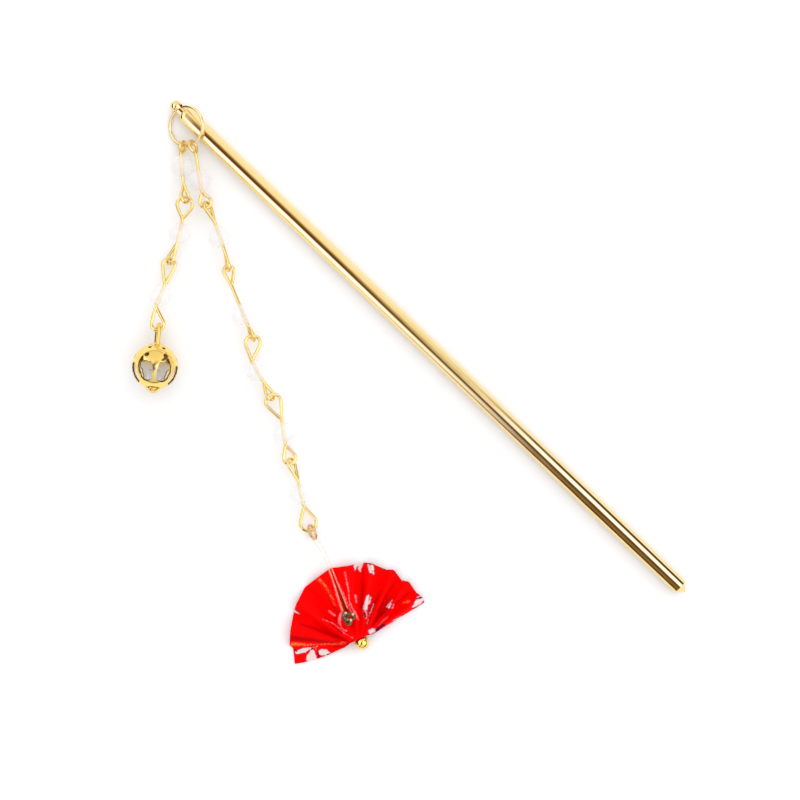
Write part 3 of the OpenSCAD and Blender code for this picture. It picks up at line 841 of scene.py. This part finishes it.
def on_fold(i, share):
    """A point of fold i, from foot to rim, in the fan's own frame in mm."""
    turn, length, up = FOLDS[i]
    side = 1 - 2 * i / LAST
    foot = Vector((FOOT - FOOT_BOW * side * side, FOOT_WIDTH / 2 * side, 0))
    rim = Vector((math.cos(math.radians(turn)), math.sin(math.radians(turn)), 0)) * length
    spot = foot.lerp(rim, share)
    if i == 0:
        spot.x -= 4 * EDGE_BOW * share * (1 - share)
    lift = between(share, [(0, 0.42), (0.2, 0.22), (0.55, 0.1), (1, 0)])
    rise = between(share, [(0, 0.6), (0.2, 0.82), (0.55, 0.95), (1, 1)])
    spot.z = lift + rise * up
    # The pleats are pasted flat into a raised foot, which stands over the gold bead
    pasted = max(0, 1 - share / 0.3) ** 1.5
    spot.z += (2.5 - 1.5 * side * side - spot.z) * pasted
    return spot


def on_sheet(across, share):
    """A point of the pleated sheet; across counts the folds, share goes from foot to rim."""
    across = min(max(across, 0), LAST)
    i = min(int(across), LAST - 1)
    return on_fold(i, share).lerp(on_fold(i + 1, share), across - i)


def on_paper(across, share, soft=0.09):
    """The sheet with its creases softened, and a slight cockle where the paste dried."""
    spot = on_sheet(across - soft, share) * 0.25 + on_sheet(across, share) * 0.5
    spot += on_sheet(across + soft, share) * 0.25
    cockle = noise.noise(Vector((spot.x * 0.55, spot.y * 0.55, across * 0.4)))
    spot.z = max(0.14, spot.z + 0.1 * cockle * min(1, 1.5 * share))
    return spot


# %% [markdown]
# ## The fan's print
#
# The paper is red with white cherry blossoms, an old and common pattern. Each petal is drawn as a
# painter does it, with a few strokes of a brush that swells or tapers. A stroke is stored in the
# sheet as the distance to its edge, and the shader cuts it at zero, so that the petals have
# crisp edges on a fairly coarse sheet.

# %% Petals, glue, painted highlights and painted shade
# Each stroke is a chain of places, along and beside the fan's middle line, with the brush's width
# there. The places were read off an enlarged picture and converted to the fan's millimetres.
PETAL_STROKES = [
    [(12.74, -5.04, 0.64), (12.61, -6.35, 0.64)],
    [(12.63, -4.98, 0.55), (12.09, -4.67, 0.2)],
    [(12.54, -6.04, 0.89), (11.86, -5.44, 0.55), (11.33, -5.35, 0.2)],
    [(11.67, -7.28, 0.4), (10.43, -7.01, 0.3)],
    [(11.42, -7.7, 0.45), (10.01, -7.31, 0.2)],
    [(6.95, -4.81, 0.3), (5.14, -3.4, 0.6)],
    [(6.55, -5.06, 0.2), (5.68, -4.29, 0.35)],
    [(3.14, -3.0, 0.2), (2.52, -2.57, 0.4)],
    [(5.13, -4.99, 0.3), (4.02, -3.75, 0.4)],
    [(4.29, -8.38, 0.12), (3.6, -6.95, 0.2)],
    [(3.91, -8.03, 0.12), (3.47, -7.22, 0.2)],
    [(1.15, -6.89, 0.15), (1.03, -8.53, 0.3)],
    [(1.11, -2.48, 0.84), (1.01, -3.14, 0.69)],
    [(1.82, -11.16, 0.45), (2.13, -12.35, 0.94), (2.3, -13.14, 0.64)],
    [(2.82, -12.51, 0.2), (2.73, -13.4, 0.2)],
    [(10.08, 8.08, 0.55), (9.25, 7.49, 0.1)],
    [(3.19, 10.81, 0.64), (3.0, 9.47, 0.89), (2.89, 8.32, 0.25)],
    [(2.11, 8.41, 0.89), (1.26, 8.93, 1.88)],
    [(1.34, 6.91, 1.09), (1.0, 6.3, 1.09), (0.57, 5.63, 0.25)],
]
# Plum outlines, where the painter's second colour shows
PLUM_STROKES = [
    [(1.59, -10.94, 0.15), (1.32, -11.96, 0.2), (1.46, -13.29, 0.15)],
    [(2.64, -12.2, 0.12), (2.62, -13.51, 0.15)],
    [(0.43, -3.09, 0.3), (0.87, -4.01, 0.25), (1.1, -5.27, 0.15)],
    [(3.92, 11.06, 0.25), (3.33, 10.74, 0.25)],
    [(1.62, 7.49, 0.2), (0.7, 7.76, 0.3)],
    [(2.56, 8.31, 0.25), (2.61, 8.01, 0.2)],
    [(0.54, 6.25, 0.2), (0.55, 5.7, 0.2)],
    [(10.6, 7.67, 0.12), (9.85, 7.15, 0.12)],
    [(5.19, -4.47, 0.15), (4.29, -3.77, 0.15)],
    [(12.47, -6.99, 0.25), (12.11, -7.05, 0.15)],
    [(10.16, -6.77, 0.15), (10.25, -7.04, 0.15)],
    [(4.63, -3.05, 0.2), (3.8, -2.77, 0.2)],
]
# Pink ones: printed stamens, and painted highlights: pink blots, the shine on the creases and
# along the strands' dried glue
PINK_AND_HIGHLIGHT_STROKES = [
    [(4.92, -3.3, 0.5), (3.51, -2.79, 0.35)],
    [(3.88, -3.68, 0.25), (3.54, -3.3, 0.25)],
    [(3.69, -8.2, 0.2), (3.23, -7.71, 0.3)],
    [(1.18, -3.66, 0.2), (1.82, -5.48, 0.4), (2.05, -6.27, 0.25)],
    [(13.81, -0.47, 0.2), (10.98, -0.08, 0.22), (8.19, 0.42, 0.22), (6.36, 0.6, 0.3)],
    [(13.79, -1.09, 0.17), (11.33, -1.07, 0.2), (8.83, -1.12, 0.2), (7.5, -1.04, 0.2),
     (5.62, -0.97, 0.25)],
    [(12.36, -2.94, 0.25), (9.63, -2.33, 0.3), (7.29, -1.49, 0.25), (5.13, -1.42, 0.25),
     (3.79, -1.34, 0.2)],
    [(6.19, 0.82, 0.4), (4.93, 1.64, 0.55), (3.67, 1.88, 0.45), (2.99, 1.24, 0.35)],
    [(3.23, 1.81, 0.35), (3.02, 1.37, 0.35)],
    [(7.4, 2.5, 0.35), (6.3, 1.92, 0.4)],
    [(6.66, 4.22, 0.11), (4.78, 2.75, 0.13), (2.65, 1.86, 0.17), (1.43, 0.78, 0.17)],
    [(7.96, -2.79, 0.3), (6.84, -2.4, 0.26)],
    [(2.74, 8.34, 0.21), (2.7, 7.15, 0.3)],
    [(2.77, 7.61, 0.17), (2.15, 7.6, 0.17)],
]
# Painted orange highlights on two creases and near the right corner
ORANGE_HIGHLIGHT_STROKES = [
    [(5.05, 11.02, 0.69), (4.24, 9.43, 0.6), (3.3, 7.68, 0.25), (2.58, 5.83, 0.2), (1.82, 3.99, 0.2),
     (1.17, 2.38, 0.15)],
    [(13.21, 1.74, 0.5), (12.22, 1.38, 0.35), (10.6, 1.14, 0.3), (9.09, 1.14, 0.25), (8.0, 1.17, 0.2)],
    [(3.07, -9.84, 0.43), (2.77, -10.95, 0.56)],
]
# Brown glue between the strands
GLUE_STROKES = [
    [(10.43, -0.65, 0.2), (8.6, -0.46, 0.35), (6.82, -0.17, 0.5), (5.93, -0.29, 0.64)],
]
# Painted shade in the valleys, a darker red
PAINTED_SHADE_STROKES = [
    [(5.93, 10.38, 1.09), (4.11, 7.3, 0.84), (2.13, 4.12, 0.55), (1.36, 1.74, 0.25)],
    [(1.3, 4.51, 0.35), (0.87, 2.8, 0.5), (0.87, 0.88, 0.35)],
    [(8.99, -4.94, 0.41), (7.2, -3.98, 0.34), (5.41, -3.02, 0.24)],
    [(6.5, -7.35, 0.3), (5.42, -5.83, 0.3), (4.31, -4.4, 0.26), (3.42, -3.42, 0.18)],
    [(3.27, -6.83, 0.61), (2.69, -5.43, 0.49), (2.01, -4.04, 0.3)],
    [(4.84, -9.43, 0.16), (3.75, -8.41, 0.16)],
    [(11.37, -6.08, 0.14), (10.14, -5.36, 0.2), (8.99, -4.94, 0.41)],
    [(7.19, -10.36, 0.25), (5.53, -7.51, 0.45), (3.65, -5.11, 0.55)],
    [(4.39, -11.64, 0.25), (3.73, -8.99, 0.35), (2.66, -5.46, 0.55)],
    [(7.49, 8.21, 0.47), (5.19, 5.87, 0.64), (2.84, 3.67, 0.64), (1.54, 1.92, 0.34)],
    [(6.67, 3.74, 0.43), (4.59, 2.84, 0.51), (2.87, 2.23, 0.3)],
    [(12.66, 1.37, 0.26), (8.44, 1.48, 0.34), (6.35, 1.05, 0.34)],
    [(6.27, 2.15, 0.4), (4.12, 1.66, 0.5), (2.63, 1.41, 0.5)],
    [(13.21, -1.15, 0.4), (9.76, -0.33, 0.5), (6.82, -0.17, 0.64)],
]


def beyond_strokes(x, y, strokes):
    """The distance in mm to the nearest stroke's edge, less than nothing inside it."""
    nearest = 9.0
    for chain in strokes:
        for (x1, y1, width_1), (x2, y2, width_2) in zip(chain, chain[1:]):
            along_x = x2 - x1
            along_y = y2 - y1
            t = ((x - x1) * along_x + (y - y1) * along_y) / (along_x * along_x + along_y * along_y)
            t = min(max(t, 0), 1)
            gap = math.hypot(x - x1 - along_x * t, y - y1 - along_y * t)
            nearest = min(nearest, gap - (width_1 + (width_2 - width_1) * t) / 2)
    return nearest


PRINTS = {"petal": PETAL_STROKES, "plum": PLUM_STROKES, "pink_and_highlight": PINK_AND_HIGHLIGHT_STROKES, "orange_highlight": ORANGE_HIGHLIGHT_STROKES,
          "glue": GLUE_STROKES, "shade": PAINTED_SHADE_STROKES}
print("strokes:", {name: len(strokes) for name, strokes in PRINTS.items()})

# %% Fold the sheet
ACROSS = 14 * LAST
DEEP = 100
bm = bmesh.new()
bmesh.ops.create_grid(bm, x_segments=ACROSS, y_segments=DEEP, size=0.5)
layers = {name: bm.verts.layers.float.new(name) for name in (*PRINTS, "rim")}
for v in bm.verts:
    across = (v.co.x + 0.5) * LAST
    share = v.co.y + 0.5
    spot = on_paper(across, share)
    for name, strokes in PRINTS.items():
        v[layers[name]] = beyond_strokes(spot.x, spot.y, strokes)
    # A painted shade along the rim, on one side of the fan only
    v[layers["rim"]] = (1 - share) * (spot.xy.length - FOOT) + 0.1 * max(0, spot.y + 5)
    v.co = fan_frame @ (spot * MM)
bmesh.ops.recalc_face_normals(bm, faces=bm.faces)
if sum(f.normal.z for f in bm.faces) < 0:
    bmesh.ops.reverse_faces(bm, faces=bm.faces)
print("paper faces:", len(bm.faces))

# %% [markdown]
# ## Printed washi
#
# Washi is a soft paper of long fibres. This one is screen printed in saturated red and then
# sealed, so it has a thin gloss over a fibrous ground. The fibres are about half a millimetre
# long and cross at random, so stretched noise at two angles gives them. The valleys and the
# rim get a painted shade of darker red, and some creases painted highlights of orange and pink.

# %% Paper finish
washi, tree, shader = new_material("printed washi paper, sealed", Roughness=0.5, Specular_IOR_Level=0.03)
spot = add(tree, "ShaderNodeTexCoord").outputs["Object"]
mottle = add(tree, "ShaderNodeTexNoise", {"Vector": spot, "Scale": 700.0, "Detail": 4.0})
ink = add(tree, "ShaderNodeValToRGB", {0: mottle}, stops=[(0.3, "#f00001"), (0.7, "#fc0102")])
# The screen's mesh leaves every printed edge a little ragged, by 0.06 mm
wobble = add(tree, "ShaderNodeTexNoise", {"Vector": spot, "Scale": 2600.0, "Detail": 2.0})
ragged = add(tree, "ShaderNodeMath", {0: wobble, 1: 0.14, 2: -0.07}, operation="MULTIPLY_ADD")


def printed(under, name, edge, soft, colour, wear=1.0):
    """Lays the strokes of one name in a colour over what lies under them: print, painted shade and painted
    highlights.
    """
    gap = add(tree, "ShaderNodeAttribute", attribute_name=name).outputs["Fac"]
    worn = add(tree, "ShaderNodeMath", {0: ragged, 1: wear, 2: gap}, operation="MULTIPLY_ADD")
    cover = add(tree, "ShaderNodeMapRange", {0: worn, 1: edge + soft, 2: edge - soft})
    ink_over = add(tree, "ShaderNodeMix", {0: cover, 6: under, 7: linear(colour)}, data_type="RGBA")
    return ink_over.outputs[2]


# Painted shade in the valleys, in two darker reds
colour = printed(ink, "shade", 0.0, 0.3, "#da0003", 2.0)
colour = printed(colour, "shade", -0.14, 0.22, "#b80006", 2.0)
# Painted shade: a dark red line along the rim
colour = printed(colour, "rim", 0.1, 0.06, "#7c0a14")
# Painted orange highlights on the creases, in two layers
colour = printed(colour, "orange_highlight", 0.04, 0.14, "#ea2c0a", 3.0)
colour = printed(colour, "orange_highlight", -0.12, 0.07, "#fb6a3c", 7.0)
# Pink print, and painted highlights on the creases and along the strands
colour = printed(colour, "pink_and_highlight", 0.02, 0.1, "#ff3a44", 2.0)
colour = printed(colour, "pink_and_highlight", -0.05, 0.06, "#ff8a8c", 4.0)
colour = printed(colour, "glue", 0.0, 0.1, "#5a3a12", 3.0)
colour = printed(colour, "petal", 0.12, 0.04, "#a01446", 4.0)
colour = printed(colour, "petal", 0.0, 0.04, "#e6b2b0")
colour = printed(colour, "petal", -0.1, 0.12, "#e6d0ca", 5.0)
colour = printed(colour, "plum", 0.0, 0.05, "#5c0a30", 2.0)
tree.links.new(colour, shader.inputs["Base Color"])
fibres = add(tree, "ShaderNodeMapping", {0: spot, "Scale": (0.25, 1, 1), "Rotation": (0, 0, 0.5)})
one_way = add(tree, "ShaderNodeTexNoise", {"Vector": fibres, "Scale": 7000.0, "Detail": 2.0})
crossing = add(tree, "ShaderNodeMapping", {0: spot, "Scale": (1, 0.25, 1), "Rotation": (0, 0, 0.2)})
other_way = add(tree, "ShaderNodeTexNoise", {"Vector": crossing, "Scale": 7000.0, "Detail": 2.0})
felt = add(tree, "ShaderNodeMath", {0: one_way, 1: other_way}, operation="ADD")
bump = add(tree, "ShaderNodeBump", {"Height": felt, "Strength": 0.25, "Distance": 0.00003})
tree.links.new(bump.outputs[0], shader.inputs["Normal"])

paper = new_piece("paper_fan", bm, washi, "paper")
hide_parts("fan")
paper.data.shade_smooth()
body = paper.modifiers.new("thickness", "SOLIDIFY")
body.thickness = 0.26 * MM
body.offset = 0
body.use_rim = True

# %% [markdown]
# ## Thread, knot and the fan's bead
#
# A clear nylon thread is doubled round the small ring, runs down a valley of the fan and ends in
# a knot that is glued to the folds. Nylon line is see-through and takes a yellow tinge from the
# glue. Their routes over the folds are already in the solid model, drawn with six sides, so a
# copy of each solid is cleaned to a cage of quads and smoothed. Smoothing pulls a six sided wire
# in by a sixth, so the cage is first pushed out by about that much.

# %% Round a six sided wire
def round_copy(node, name, push, material, slot):
    """A smooth round copy of a solid's wire; push is in mm."""
    bm = bmesh.new()
    bm.from_mesh(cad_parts[node].data)
    bmesh.ops.remove_doubles(bm, verts=bm.verts, dist=0.002 * MM)
    bmesh.ops.join_triangles(bm, faces=bm.faces, angle_face_threshold=math.radians(60),
                             angle_shape_threshold=math.radians(60))
    bm.normal_update()
    for v, move in [(v, v.normal * push * MM) for v in bm.verts]:
        v.co += move
    piece = new_piece(name, bm, material, slot)
    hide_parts(node)
    piece.data.shade_smooth()
    rounding = piece.modifiers.new("round", "SUBSURF")
    rounding.levels = rounding.render_levels = 2
    print(name, "cage faces:", len(piece.data.polygons))


# %% Nylon and its knot
nylon, tree, shader = new_material("clear nylon thread", Roughness=0.25, IOR=1.53,
    Transmission_Weight=0.2, Alpha=0.24)
spot = add(tree, "ShaderNodeTexCoord").outputs["Object"]
strain = add(tree, "ShaderNodeTexNoise", {"Vector": spot, "Scale": 900.0, "Detail": 2.0})
tones = add(tree, "ShaderNodeValToRGB", {0: strain}, stops=[(0.35, "#e6d2a6"), (0.65, "#f6e9c8")])
tree.links.new(tones.outputs[0], shader.inputs["Base Color"])
round_copy("thread", "nylon_thread", 0.025, nylon, "thread")

glued, tree, shader = new_material("knotted thread soaked with glue", Roughness=0.2,
    Coat_Weight=0.8, Coat_Roughness=0.06)
spot = add(tree, "ShaderNodeTexCoord").outputs["Object"]
soak = add(tree, "ShaderNodeTexNoise", {"Vector": spot, "Scale": 1500.0, "Detail": 3.0})
stain = add(tree, "ShaderNodeValToRGB", {0: soak}, stops=[
    (0.4, "#1a1204"), (0.52, "#4e3d14"), (0.6, "#8f7a3a"), (0.68, "#e2d4a0")])
tree.links.new(stain.outputs[0], shader.inputs["Base Color"])
round_copy("knot", "thread_knot", 0.1, glued, "knot")

# %% The fan's gold bead
FAN_BEAD = 1.25
HOLE = 0.35
bead_base = fan_frame @ (Vector((-0.11, -0.3, FAN_BEAD)) * MM)
bead_way = (fan_frame.to_3x3() @ Vector((1, 0, 0))).normalized()
lip = math.degrees(math.asin(HOLE / FAN_BEAD))
outline = arc((0, 0), FAN_BEAD, 180 - lip - 2, lip + 2, 24)
outline = [(-1.0, HOLE), (-1.17, HOLE + 0.01)] + outline + [(1.17, HOLE + 0.01), (1.0, HOLE)]
outline.append(outline[0])
bm = spun(outline, bead_base, bead_way, Vector((0, 0, 1)), 48)
fan_bead = new_piece("gold_bead", bm, ball_gold, "ball_metal")
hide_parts("fan_bead")
smooth(fan_bead, 50)
print("gold bead faces:", len(fan_bead.data.polygons))
